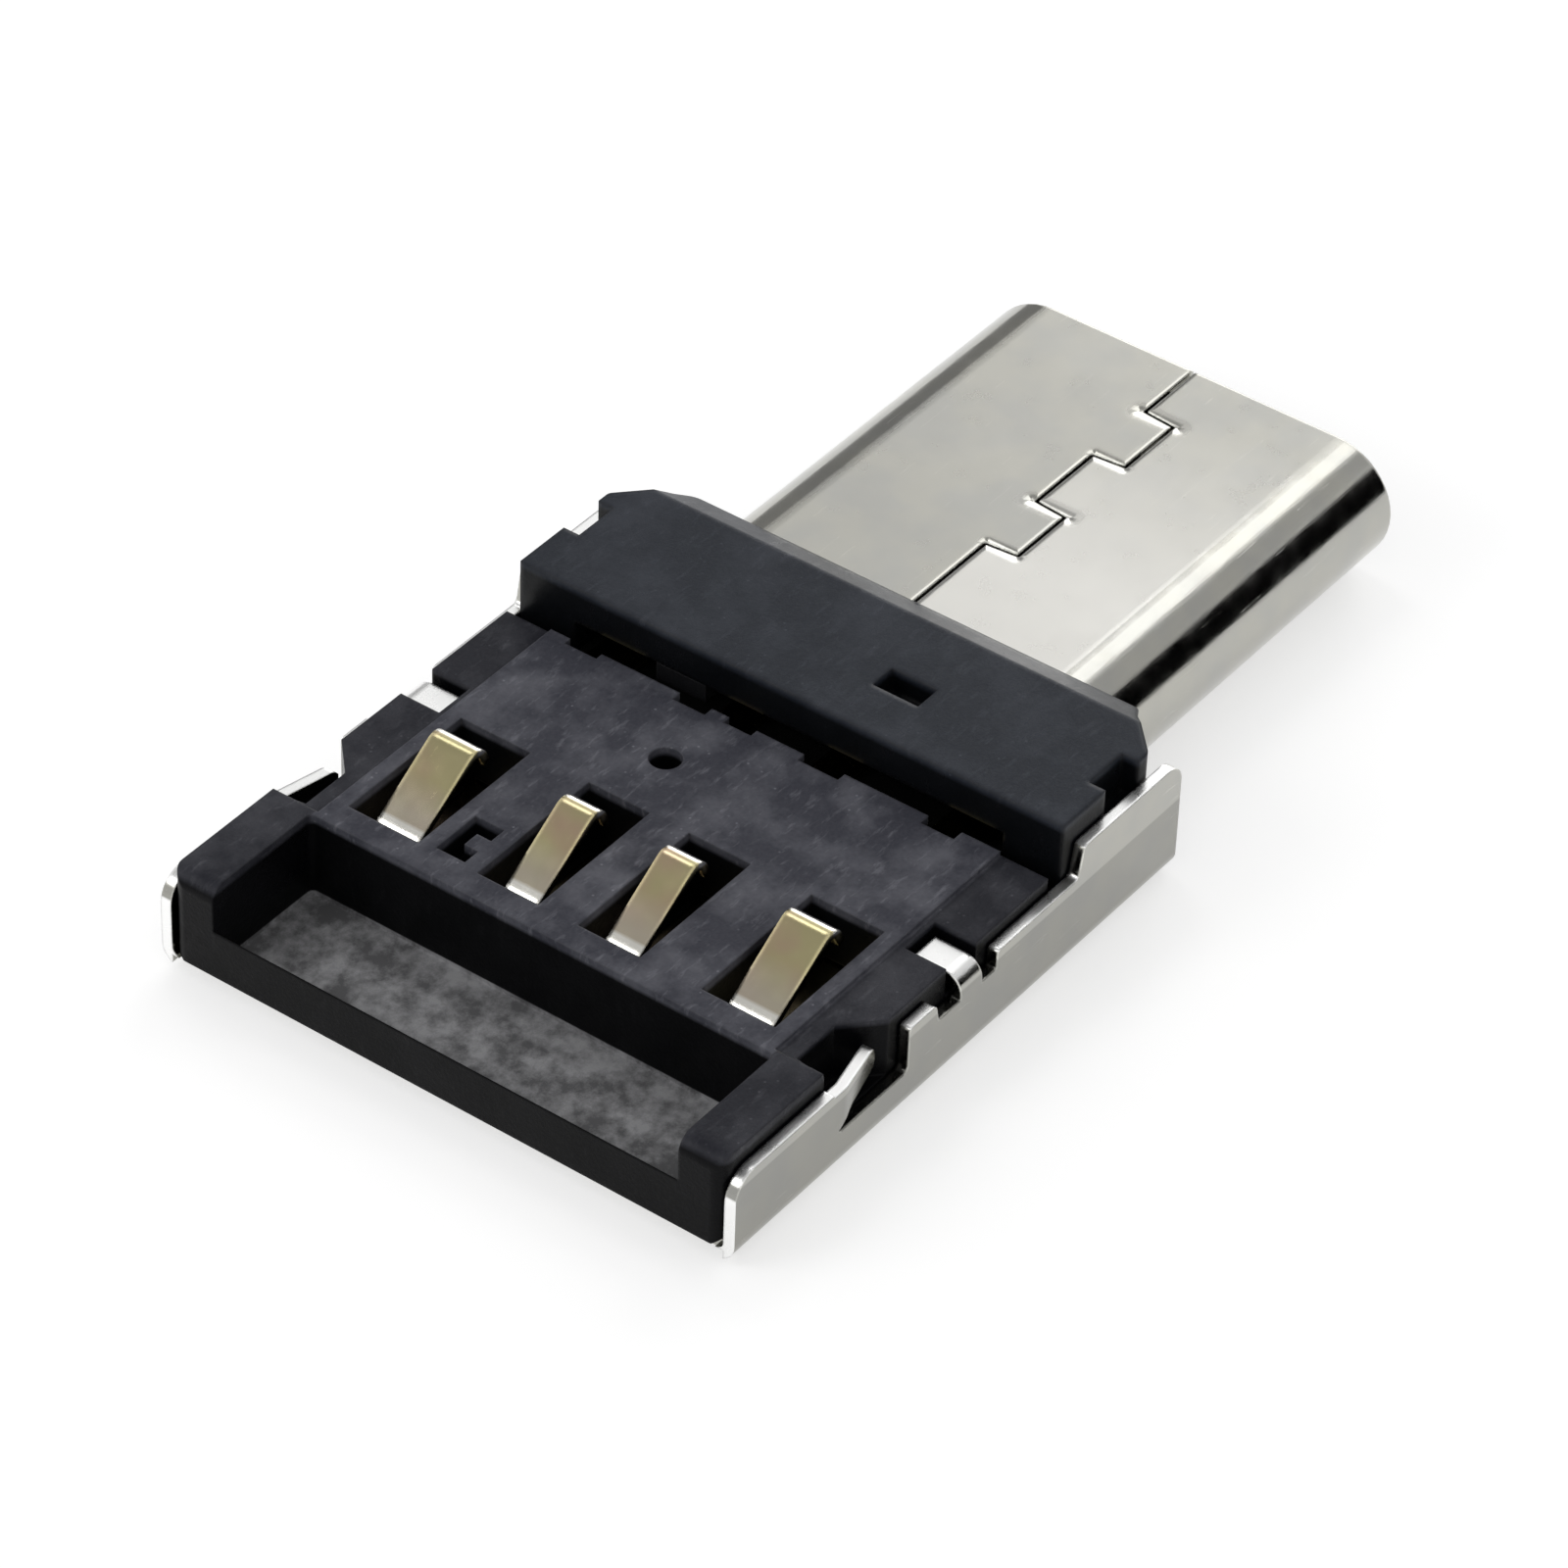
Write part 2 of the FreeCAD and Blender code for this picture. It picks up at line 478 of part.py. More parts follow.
def contact_tray():
    body = new_body("contact_tray")
    half = TRAY_HALF
    rear, front = -v("plate_length"), -v("deck_front")
    base = outline([(rear, -half, 0.25), (front, -half), (front, half), (rear, half, 0.25)])
    low = "sizes.sheet"
    pad(body, "XY", low, [base], "sizes.deck_height - sizes.sheet")
    pad(body, "XY", low, [box(front - 0.1, -BOARD_HALF, -v("shelf_front"), BOARD_HALF)],
        BOARD_LOW_SIZE + " - sizes.sheet")
    top = "sizes.deck_height"
    bend = v("bend_radius")
    # The lower edges clear the inside of the folds.
    for side in (1, -1):
        cut(body, "YZ", "0", [fold_clearance(side)], "sizes.plate_length + 1")
    deck = half - v("rail_width")
    rails = [box(-v("deck_rear") + 0.1, side * deck, 0.5, side * (half + 0.2)) for side in (1, -1)]
    cut(body, "XY", top, rails, "sizes.rail_depth")
    pocket = half - v("cheek_width")
    sill = rear + v("sill_thickness")
    cut(body, "XY", top, [box(sill, -pocket, -v("deck_rear"), pocket, 0.12)],
        "sizes.deck_height - sizes.pocket_floor")
    high, drop = v("sill_height"), v("sill_depth")
    clear = v("deck_height") + 1
    over = outline([(rear - 1, clear), (rear - 1, high), (rear, high), (sill, high - drop),
                    (sill + 0.2, high - drop), (sill + 0.2, clear)])
    cut(body, "XZ", "sizes.body_width / 2 - sizes.sheet - sizes.side_play - sizes.cheek_width", [over],
        "sizes.body_width - 2 * sizes.sheet - 2 * sizes.side_play - 2 * sizes.cheek_width")
    # Rounded fall of the rear cheeks.
    deck_top = v("deck_height")
    fall = outline([(rear - 1, 3), (rear - 1, deck_top - 0.45), (rear, deck_top - 0.45),
                    (rear, deck_top, 0.3), (rear + 0.5, deck_top), (rear + 0.5, 3)])
    cut(body, "XZ", "sizes.body_width", [fall], "2 * sizes.body_width")
    slots, channels, joggles = [], [], []
    for name, side, place, width in CONTACTS:
        y = side * v(place)
        w = v(width) / 2
        beside = w + v("slot_extra")
        slots.append(box(-v("slot_rear"), y - beside, -v("slot_front"), y + beside))
        run = v("slot_floor") + v("run_height")
        t = v("contact_sheet") / 2
        channels.append(box(y - w, run - t, y + w, run + t + 0.05))
        joggles.append(box(y - w, run - t, y + w, BOARD_TOP + 2 * t + 0.12))
    cut(body, "XY", top, slots, "sizes.deck_height - sizes.slot_floor")
    cut(body, "YZ", "-sizes.deck_front", channels, "sizes.slot_front - sizes.deck_front + 0.1")
    cut(body, "YZ", "-sizes.deck_front", joggles, "0.85")
    # Small recesses moulded in the deck.
    hole = Part.Circle(Vector(-v("hole_rear"), v("hole_side"), 0), Vector(0, 0, 1), v("hole_radius"))
    cut(body, "XY", top, [[hole]], "sizes.hole_depth")
    cut(body, "XY", top, [deck_recess()], "sizes.recess_depth")
    notches = [box(front - deep, y0, front + 0.1, y1)
               for y0, y1, deep in ((3.45, 4.10, 0.15), (1.20, 1.85, 0.2), (0.30, 0.85, 0.16),
                                    (-1.45, -0.65, 0.18), (-3.75, -3.10, 0.22))]
    cut(body, "XY", top, notches, "0.22")
    # Room for the bent fingers and the crimp tabs.
    fingers, tabs, folds = [], [], []
    tab_back, tab_front = -v("tab_rear") - 0.12, -v("tab_front") + 0.12
    for side in (1, -1):
        outside = side * (half + 0.2)
        inside = side * (half - v("finger_in") - v("finger_room"))
        fingers.append(outline([(-v("finger_root") - 0.15, outside), (-v("finger_root") - 0.05, inside),
                                (-v("finger_tip") - 0.3, inside), (-v("part_rear") - 0.05, outside)]))
        tabs.append(box(tab_back, side * (HALF - v("tab_length") - 0.1), tab_front, outside))
        folds.append(box(tab_back, side * (HALF - bend - 0.03), tab_front, outside))
    cut(body, "XY", top, fingers, "sizes.deck_height - sizes.strip_height")
    cut(body, "XY", top, tabs, "sizes.tab_depth + sizes.sheet")
    cut(body, "XY", top, folds, "sizes.tab_depth + sizes.bend_radius + 0.03")
    return body


def deck_recess():
    """small c-shaped recess, its two arms pointing at the centre line"""
    back, near, arm = -v("recess_rear"), v("recess_side"), v("recess_arm")
    front, far = back + v("recess_length"), near + v("recess_width")
    middle = far - v("recess_back")
    return outline([(back, near), (back + arm, near), (back + arm, middle), (front - arm, middle),
                    (front - arm, near), (front, near), (front, far), (back, far)])


# The front block over the circuit board, moulded round the root of the plug shell.

def front_block():
    body = new_body("front_block")
    half = TRAY_HALF
    rear, front = -v("block_rear"), v("block_front")
    nose = half - v("nose_taper") * SPARE
    bevel = half - 0.8 * v("nose_taper") * SPARE
    plan = outline([(rear, -half), (-0.45, -half, 0.15), (front - 0.35, -bevel, 0.3), (front, -nose, 0.2),
                    (front, nose, 0.2), (front - 0.35, bevel, 0.3), (-0.45, half, 0.15), (rear, half)])
    pad(body, "XY", "sizes.sheet", [plan], BLOCK_TOP_SIZE + " - sizes.sheet")
    # Foot that fills the open line between the plate's front edge and the plug shell.
    neck = v("neck_width") / 2 + 0.03
    edge = v("wall_front") + 0.03
    foot = [outline([(0.10, side * neck), (front, side * neck), (front, side * nose),
                     (edge, side * (half - 0.42 * SPARE))]) for side in (1, -1)]
    pad(body, "XY", "0.05", foot, "sizes.sheet - 0.05")
    for side in (1, -1):
        cut(body, "YZ", "1", [fold_clearance(side)], "sizes.plate_length")
    low = BLOCK_TOP - v("slope_depth")
    slope = [outline([(front + 0.2, BLOCK_TOP + 0.2), (front + 0.2, low), (front, low, 0.05),
                      (front - v("slope_length"), BLOCK_TOP, 0.1),
                      (front - v("slope_length") - 0.2, BLOCK_TOP + 0.2)])]
    cut(body, "XZ", "sizes.body_width", slope, "2 * sizes.body_width")
    top = BLOCK_TOP_SIZE
    ends = [box(-1.65, side * (half - 0.32), -0.72, side * (half + 0.2)) for side in (1, -1)]
    cut(body, "XY", top, ends, "0.75")
    back, near = -v("well_rear"), -v("well_side")
    well = box(back, near - v("well_width"), back + v("well_length"), near)
    cut(body, "XY", top, [well], "sizes.well_depth")
    # Hollow for the board and its tails, the way through for the insulator, the seat of the plug shell.
    chamber = BOARD_HALF + v("board_play")
    cut(body, "YZ", "-0.05", [box(-chamber, -0.1, chamber, BOARD_TOP + v("chamber_room"), 0.05)],
        "sizes.block_rear + 1")
    way = INSULATOR_HALF + 0.03
    inside = v("plug_height") - v("sheet")
    cut(body, "YZ", "sizes.plug_root", [box(-way, v("sheet"), way, inside + 0.02)], "1")
    play = 0.02
    shell = v("plug_width") / 2 + play
    high = v("plug_height") + play
    seat = racetrack(-shell, -play, shell, high)
    cut(body, "YZ", "sizes.block_front + 0.5", [seat], "sizes.block_front + 0.5 - sizes.plug_root + 0.02")
    return body


# Usb-a contacts: one strip from the solder tail back under the deck, round the bend at the slot's
# rear end and up to the crest, whose free tip curls down.

def usb_a_contact(name, side, place, width):
    body = new_body(name)
    t = v("contact_sheet")
    tail = BOARD_TOP + t / 2
    run = v("slot_floor") + v("run_height")
    heel = -v("slot_rear") + v("heel_play")
    crest = v("deck_height") + v("crest_height")
    lip = v("lip_length")
    step = -v("deck_front")
    path = [(-v("shelf_front"), tail, 0), (step - 0.35, tail, 0.2), (step - 0.55, run, 0.2),
            (heel, run, 0.38), (heel, v("slot_floor") + v("heel_height"), 0.30),
            (-v("crest_rear"), crest, 0.22), (-v("crest_rear") + 0.45 * lip, crest - lip, 0)]
    centre = "(%d) * sizes.%s" % (side, place)
    pad(body, "XZ", "-(%s) - sizes.%s / 2" % (centre, width), [strip(path, t)], "sizes." + width)
    return body


def solder(name, side, place, width):
    """fillet at the tail's free end on the board"""
    body = new_body(name)
    x = -v("shelf_front")
    low = BOARD_TOP
    heap = outline([(x, low), (x, low + v("contact_sheet")), (x + 0.12, low + 0.09), (x + 0.28, low)])
    centre = "(%d) * sizes.%s" % (side, place)
    pad(body, "XZ", "-(%s) - sizes.%s / 2" % (centre, width), [heap], "sizes." + width)
    return body


# Inside the plug: insulator, two rows of contacts, the latch plate and the two ground springs.

def plug_insulator():
    body = new_body("plug_insulator")
    half = INSULATOR_HALF
    low, high = v("sheet"), v("plug_height") - v("sheet")
    mouth = "sizes.plug_length - sizes.insulator_depth"
    pad(body, "YZ", "0", [racetrack(-half, low, half, high)], mouth)
    rise, side = CAVITY_RISE, CAVITY_HALF
    cut(body, "YZ", mouth, [box(-side, PLUG_MID - rise, side, PLUG_MID + rise, 0.15)],
        "sizes.cavity_depth - sizes.insulator_depth")
    slots, shanks = [], []
    w, reach = v("pin_slot_width") / 2, PIN_SLOT_RISE
    for number in range(1, 13):
        y = pin_y(number)
        slots.append(box(y - w, PLUG_MID + rise - 0.1, y + w, PLUG_MID + reach))
        slots.append(box(y - w, PLUG_MID - reach, y + w, PLUG_MID - rise + 0.1))
    slot_end = "sizes.plug_length - sizes.pin_slot_depth"
    cut(body, "YZ", slot_end, slots, "sizes.cavity_depth - sizes.pin_slot_depth")
    p, t = v("pin_width") / 2, v("pin_sheet")
    for number in UPPER_PINS:
        shanks.append(box(pin_y(number) - p, BOARD_TOP, pin_y(number) + p, BOARD_TOP + t))
    for number in LOWER_PINS:
        shanks.append(box(pin_y(number) - p, BOARD_LOW - t, pin_y(number) + p, BOARD_LOW))
    cut(body, "YZ", "sizes.plug_length - sizes.cavity_depth + 0.1", shanks, "sizes.plug_length")
    # Seat of the latch plate, open at both sides.
    mid = "sizes.plug_height / 2 + sizes.latch_sheet / 2"
    seat = [box(v("latch_rear"), -half - 0.2, v("latch_bar"), half + 0.2)]
    cut(body, "XY", mid, seat, "sizes.latch_sheet")
    arms = [box(v("latch_bar") - 0.1, s * (CAVITY_HALF - 0.02), LATCH_FRONT + 0.35, s * (half + 0.2))
            for s in (1, -1)]
    cut(body, "XY", mid, arms, "sizes.latch_sheet")
    # Seats of the ground springs and the windows their fingers spring through.
    seat = [box(SPRING_BEND - v("spring_land"), -SPRING_HALF, SPRING_BEND, SPRING_HALF)]
    window = v("spring_tongue") / 2 + 0.05
    windows = []
    for n in (-1, 0, 1):
        y = n * v("spring_pitch")
        windows.append(box(SPRING_BEND - 0.02, y - window,
                           SPRING_BEND + v("spring_finger") + 0.15, y + window))
    cut(body, "XY", "sizes.plug_height - sizes.sheet", seat, "sizes.spring_sheet")
    cut(body, "XY", "sizes.sheet + sizes.spring_sheet", seat, "sizes.spring_sheet")
    cut(body, "XY", "sizes.plug_height - sizes.sheet", windows, "sizes.plug_height - 2 * sizes.sheet")
    return body


def pin_path():
    z = BOARD_TOP + v("pin_sheet") / 2
    mouth = v("plug_length")
    return [(-v("pin_tail"), z, 0), (CAVITY_REAR + 0.1, z, 0.4),
            (mouth - v("pin_arch_depth"), PLUG_MID + PIN_SLOT_RISE - v("pin_arch_room"), 0.8),
            (mouth - v("pin_crest_depth"), PLUG_MID + v("pin_crest_height"), 0.25),
            (mouth - v("pin_tip_depth"), PLUG_MID + TIP_RISE, 0)]


def plug_pin(row, number):
    body = new_body("plug_pin_%s%d" % (row, number))
    path = pin_path() if row == "a" else mirrored(pin_path(), PLUG_MID)
    pad(body, "XZ", "-(6.5 - %d) * sizes.pin_spacing - sizes.pin_width / 2" % number,
        [strip(path, v("pin_sheet"))], "sizes.pin_width")
    return body


def plug_latch():
    """middle plate: cross bar with two arms whose hooks grip the sides of the mating tongue"""
    body = new_body("plug_latch")
    out = LATCH_HALF
    back, bar, tip = v("latch_rear"), v("latch_bar"), LATCH_FRONT
    arm = CAVITY_HALF + 0.03
    plan = outline([(back, -out, 0.1), (tip - 0.1, -out, 0.1), (tip, -out + 0.2, 0.05),
                    (tip - 0.1, -arm + 0.22, 0.08), (tip - 0.55, -arm + 0.2, 0.1), (tip - 0.85, -arm, 0.1),
                    (bar, -arm), (bar, arm), (tip - 0.85, arm, 0.1), (tip - 0.55, arm - 0.2, 0.1),
                    (tip - 0.1, arm - 0.22, 0.08), (tip, out - 0.2, 0.05), (tip - 0.1, out, 0.1),
                    (back, out, 0.1)])
    pad(body, "XY", "sizes.plug_height / 2 - sizes.latch_sheet / 2", [plan], "sizes.latch_sheet")
    return body


def ground_spring(name, upper):
    body = new_body(name)
    t = v("spring_sheet")
    z = v("plug_height") - v("sheet") - t / 2
    path = [(SPRING_BEND - v("spring_land"), z, 0), (SPRING_BEND + 0.05, z, 0.15),
            (SPRING_BEND + v("spring_finger"), PLUG_MID + TIP_RISE, 0)]
    if not upper:
        path = mirrored(path, PLUG_MID)
    pad(body, "XZ", "-sizes.spring_pitch - sizes.spring_tongue / 2", [strip(path, t)],
        "2 * sizes.spring_pitch + sizes.spring_tongue")
    inner, outer = v("spring_tongue") / 2, v("spring_pitch") - v("spring_tongue") / 2
    gaps = [box(SPRING_BEND, side * inner, INSULATOR_FRONT, side * outer) for side in (1, -1)]
    cut(body, "XY", "sizes.plug_height", gaps, "sizes.plug_height")
    return body


# The circuit board and the pull-down resistor that tells the host it is a host.

def circuit_board():
    body = new_body("circuit_board")
    rear, front, half = -v("board_rear"), -v("board_front"), BOARD_HALF
    plan = outline([(rear, -half, 0.2), (front, -half, 0.2), (front, half, 0.2), (rear, half, 0.2)])
    pad(body, "XY", BOARD_LOW_SIZE, [plan], "sizes.board_thickness")
    return body


def cc_resistor():
    body = new_body("cc_resistor")
    back, side = -v("resistor_rear"), v("resistor_side")
    plan = box(back, side, back + v("resistor_width"), side + v("resistor_length"))
    pad(body, "XY", BOARD_TOP_SIZE, [plan], "sizes.resistor_height")
    return body


def build():
    bodies = [metal_shell(), contact_tray(), front_block()]
    for name, side, place, width in CONTACTS:
        bodies.append(usb_a_contact(name, side, place, width))
        bodies.append(solder(name.replace("contact", "solder"), side, place, width))
    bodies.append(plug_insulator())
    bodies += [plug_pin("a", number) for number in UPPER_PINS]
    bodies += [plug_pin("b", number) for number in LOWER_PINS]
    bodies.append(plug_latch())
    bodies.append(ground_spring("ground_spring_upper", True))
    bodies.append(ground_spring("ground_spring_lower", False))
    bodies.append(circuit_board())
    bodies.append(cc_resistor())
    return bodies


nodes = build()
doc.recompute()
for item in doc.Objects:
    if "Invalid" in item.State or "Error" in item.State:
        raise RuntimeError("%s is in error: %s" % (item.Label, item.State))
for body in nodes:
    shape = body.Shape
    if shape.isNull() or not shape.isValid() or len(shape.Solids) != 1:
        raise RuntimeError("%s is not one good solid" % body.Label)
    shape.exportStep("parts/%s.step" % body.Label)
    print("%-22s %8.3f mm3" % (body.Label, shape.Volume))
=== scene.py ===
import json
import math

import bmesh
import bpy
from mathutils import Matrix, Vector

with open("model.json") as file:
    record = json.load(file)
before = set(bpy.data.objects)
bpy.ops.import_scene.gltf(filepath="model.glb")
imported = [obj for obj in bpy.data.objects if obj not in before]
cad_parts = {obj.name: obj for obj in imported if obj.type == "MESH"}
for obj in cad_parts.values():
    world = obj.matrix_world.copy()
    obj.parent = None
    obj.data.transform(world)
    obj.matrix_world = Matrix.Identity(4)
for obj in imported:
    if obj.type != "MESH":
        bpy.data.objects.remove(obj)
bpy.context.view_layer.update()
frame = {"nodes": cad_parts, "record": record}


# Places on the adapter, in millimetres in the frame of the solids: x runs from the rear sill to the plug's
# mouth, y across and z up. A zone is its lowest corner, its highest corner and the width of its fading edge.

MM = 0.001
REAR, FRONT = -11.0, 1.6
OUTSIDE = 6.0
PLUG_ROOT, PLUG_MOUTH = 2.0, 10.4
PLUG_TOP = 2.48
BELOW_TOP, ABOVE_TOP = 2.42, 2.6
SEAM_JOG = 0.62

# the wall edges and ends carry a painted highlight, near white
WALL_EDGES = ((REAR, 4.65, 1.62), (FRONT, OUTSIDE, 2.7), 0.05)
WALL_ENDS = ((-10.6, 5.35, 0.0), (-10.262, 5.75, 1.7), 0.01)
WALL_FACES = ((REAR, 5.45, -0.1), (FRONT, OUTSIDE, 1.55), 0.04)
# painted shade that darkens the side walls
WALL_PAINTED_SHADE = 0.28
RIM_HIGHLIGHT_ROUGHNESS, SATIN_ROUGHNESS = 0.15, 0.17  # added to that of the plating
PLUG_FLAT = ((PLUG_ROOT, -3.1, BELOW_TOP), (PLUG_MOUTH, 3.1, ABOVE_TOP), 0.02)
# the plug's near half, lightened by a painted highlight
PLUG_PAINTED_HIGHLIGHT = ((PLUG_ROOT, -2.98, BELOW_TOP), (PLUG_MOUTH, 0.0, ABOVE_TOP), 0.03)
SEAM_TONGUES = [((x, -0.6, BELOW_TOP), (x_end, 0.1, ABOVE_TOP), 0.03)
                for x, x_end in ((7.2, 8.7), (4.1, 5.5))]
PAINTED_HIGHLIGHT_FADES = (9.3, 5.3)  # where its painted highlight ends, and the length over which it falls

CONTACT_SPREAD = 4.5
# the contacts' crest and heel carry a painted highlight
CONTACT_CREST = ((-5.50, -CONTACT_SPREAD, 2.50), (-4.6, CONTACT_SPREAD, 3.0), 0.05)
CONTACT_HEEL = ((-7.4, -CONTACT_SPREAD, 1.30), (-6.90, CONTACT_SPREAD, 2.0), 0.05)
CONTACT_FOOT = ((-7.4, -CONTACT_SPREAD, 1.30), (-6.75, CONTACT_SPREAD, 2.2), 0.55)
FOOT_PALENESS = 0.75

BLOCK_SIDES = ((-2.0, -7.0, -1.0), (1.2, 7.0, 2.66), 0.1)
# painted shade that darkens the block's sides, leaving its top lighter
SIDE_PAINTED_SHADE = 0.88

TRAY_RAILS = ((REAR, 4.56, 1.0), (0.0, OUTSIDE, 2.2), 0.04)
POCKET_FLOOR = ((-9.95, -5.0, 0.3), (-7.8, 5.0, 0.50), 0.03)
RAIL_DARKNESS, RAIL_POLISH = 0.55, 0.1
# painted shade that darkens the tray below this height
HOLLOWS_BELOW, HOLLOW_PAINTED_SHADE = 1.97, 0.97

# The closed seam's runs and jogs: lowest x, highest x, lowest y, highest y, and how far the sheet dips
# beside them. The first and third jog are staked a little past their corners.
SEAM_LINES = [
    (8.745, PLUG_MOUTH, 0.0, 0.0, 0.15), (8.69, 8.74, -0.70, 0.10, 0.28),
    (7.245, 8.685, -SEAM_JOG, -SEAM_JOG, 0.15), (7.19, 7.24, -SEAM_JOG, 0.0, 0.20),
    (5.535, 7.185, 0.0, 0.0, 0.15), (5.48, 5.53, -0.70, 0.10, 0.28),
    (4.125, 5.475, -SEAM_JOG, -SEAM_JOG, 0.15), (4.07, 4.12, -SEAM_JOG, 0.0, 0.20),
    (PLUG_ROOT, 4.065, 0.0, 0.0, 0.15)]
SEAM_DIP = 0.030
SHEET_HALF = 0.08
GRAIN_DEPTH = 0.02


def rgb(r, g, b):
    return (r, g, b, 1.0)


def grey(level):
    return rgb(level, level, level)


WHITE, BLACK, NEAR_BLACK = grey(1.0), grey(0.0), grey(0.001)


class Net:
    """the nodes of one shader tree, laid out in columns"""

    def __init__(self, tree):
        self.tree = tree

    def add(self, kind, **sockets):
        """a node with its sockets set by name, to a value or to another node's output"""
        column, row = divmod(len(self.tree.nodes), 8)
        node = self.tree.nodes.new(kind)
        node.location = (220 * column, -190 * row)
        for name, value in sockets.items():
            self.put(node, name.replace("_", " "), value)
        return node

    def put(self, node, name, value):
        socket = node.inputs[name]
        if isinstance(value, bpy.types.NodeSocket):
            self.tree.links.new(value, socket)
        else:
            socket.default_value = value

    def joined(self, kind, *values):
        """a node with its sockets set in their order"""
        node = self.add(kind)
        for index, value in enumerate(values):
            self.put(node, index, value)
        return node

    def maths(self, operation, *values, clamp=False):
        node = self.joined("ShaderNodeMath", *values)
        node.operation = operation
        node.use_clamp = clamp
        return node.outputs[0]

    def plus(self, a, b, clamp=False):
        return self.maths("ADD", a, b, clamp=clamp)

    def minus(self, a, b, clamp=False):
        return self.maths("SUBTRACT", a, b, clamp=clamp)

    def times(self, a, b, clamp=False):
        return self.maths("MULTIPLY", a, b, clamp=clamp)

    def over(self, a, b, clamp=False):
        return self.maths("DIVIDE", a, b, clamp=clamp)

    def higher(self, a, b):
        return self.maths("MAXIMUM", a, b)

    def size(self, a):
        return self.maths("ABSOLUTE", a)

    def vector(self, operation, *values):
        node = self.joined("ShaderNodeVectorMath", *values)
        node.operation = operation
        return node.outputs["Value" if operation in ("LENGTH", "DOT_PRODUCT") else "Vector"]

    def split(self, vector):
        return self.add("ShaderNodeSeparateXYZ", Vector=vector).outputs

    def stretched(self, vector, scale, turn=(0.0, 0.0, 0.0)):
        return self.add("ShaderNodeMapping", Vector=vector, Scale=scale, Rotation=turn).outputs[0]

    def noise(self, vector, scale, detail, roughness=0.55):
        cloud = self.add("ShaderNodeTexNoise", Vector=vector, Scale=scale, Detail=detail, Roughness=roughness)
        return cloud.outputs["Fac"]

    def ramp(self, factor, *stops):
        """a grey level that follows the factor through the stops, each a place and a level"""
        node = self.add("ShaderNodeValToRGB", Fac=factor)
        marks = node.color_ramp.elements
        while len(marks) < len(stops):
            marks.new(0.5)
        for mark, (place, level) in zip(marks, stops):
            mark.position = place
            mark.color = grey(level)
        return node.outputs["Color"]

    def blend(self, factor, a, b, mode="MIX"):
        node = self.add("ShaderNodeMix")
        node.data_type = "RGBA"
        node.blend_type = mode
        for index, value in ((0, factor), (6, a), (7, b)):
            self.put(node, index, value)
        return node.outputs[2]

    def place(self, effect, **sockets):
        """a shared effect with its own values"""
        node = self.add("ShaderNodeGroup")
        node.node_tree = effect
        for name, value in sockets.items():
            self.put(node, name, value)
        return node.outputs

    def zone(self, spot, zone):
        """1 inside the zone, falling to 0 over its fading edge"""
        lows, highs, soft = zone
        level = None
        for along, low, high in zip(self.split(spot), lows, highs):
            off = self.size(self.minus(along, (low + high) / 2))
            inside = self.over(self.minus((high - low) / 2 + soft, off), soft, True)
            level = inside if level is None else self.times(level, inside)
        return level

    def both_sides(self, spot):
        """the position with its y made positive, so that one zone serves the left and the right"""
        x, y, z = self.split(spot)
        return self.add("ShaderNodeCombineXYZ", X=x, Y=self.size(y), Z=z).outputs[0]


# Shared effects

def effect(name, inputs, outputs):
    """an empty shader group with named sockets: its net, what it is given and what it puts out"""
    tree = bpy.data.node_groups.new(name, "ShaderNodeTree")
    for label, kind in inputs.items():
        tree.interface.new_socket(label, in_out="INPUT", socket_type="NodeSocket" + kind)
    for label, kind in outputs.items():
        tree.interface.new_socket(label, in_out="OUTPUT", socket_type="NodeSocket" + kind)
    net = Net(tree)
    return net, net.add("NodeGroupInput").outputs, net.add("NodeGroupOutput").inputs


def stamping_marks():
    """rolled grain, fine scratches and faint stains of a stamped, plated sheet"""
    net, given, made = effect("stamping_marks",
                              {"Position": "Vector", "Grain": "Float", "Scratches": "Float"},
                              {"Shade": "Color", "Roughness": "Float", "Height": "Float"})
    spot = given["Position"]
    rolled = net.noise(net.stretched(spot, (0.6, 9.0, 9.0)), scale=3.0, detail=6.0)
    peel = net.noise(spot, scale=2.2, detail=4.0)
    stain = net.noise(spot, scale=0.35, detail=3.0)
    drawn = net.stretched(spot, (0.25, 7.0, 3.0), turn=(0.3, 0.2, 0.9))
    streak = net.noise(drawn, scale=2.6, detail=2.0, roughness=0.35)
    scratch = net.ramp(streak, (0.0, 0.0), (0.715, 0.0), (0.725, 1.0), (0.735, 0.0))
    scratch = net.times(scratch, given["Scratches"])
    shade = net.plus(net.plus(net.times(stain, 0.10), 0.93), net.times(scratch, 0.25))
    rough = net.plus(net.times(net.minus(peel, 0.5), 0.22), net.times(scratch, 0.18))
    height = net.times(net.plus(rolled, net.times(peel, 0.5)), given["Grain"])
    net.tree.links.new(shade, made["Shade"])
    net.tree.links.new(rough, made["Roughness"])
    net.tree.links.new(net.minus(height, scratch), made["Height"])
    return net.tree


